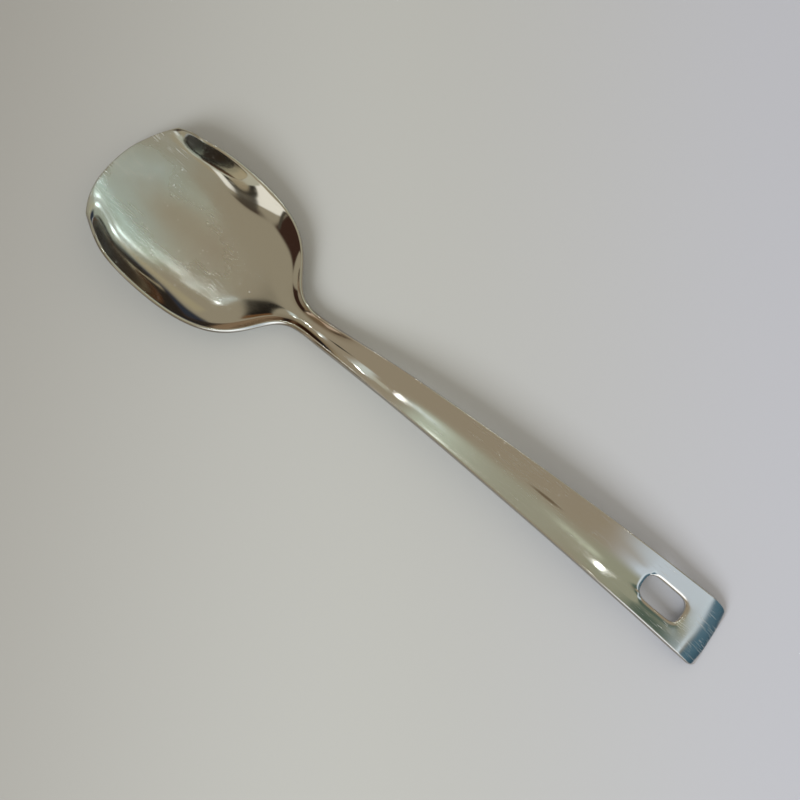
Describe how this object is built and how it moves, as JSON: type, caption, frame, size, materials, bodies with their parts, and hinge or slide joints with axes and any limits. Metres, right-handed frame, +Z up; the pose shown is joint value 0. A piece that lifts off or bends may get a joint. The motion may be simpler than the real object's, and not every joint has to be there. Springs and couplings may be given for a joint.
{
  "type": "cooking spoon",
  "caption": "Polished stainless cooking spoon with a scoop-like open-fronted bowl, a pinched neck and a long arched handle with a hang slot and turned-down end.",
  "frame": {"origin": "on the table, under the middle of the spoon's overall length, on its mirror plane", "axes": "+X along the spoon from the bowl's front edge to the end of the handle, +Y across it, +Z up out of the bowl"},
  "size_m": [0.2901, 0.0638, 0.0159],
  "materials": {
    "bowl_steel": "polished stainless, floor dulled by fine scraping marks",
    "handle_steel": "polished stainless with light handling wear"
  },
  "bodies": {
    "root": {"bowl": "bowl_steel", "handle": "handle_steel"}
  },
  "joints": []
}
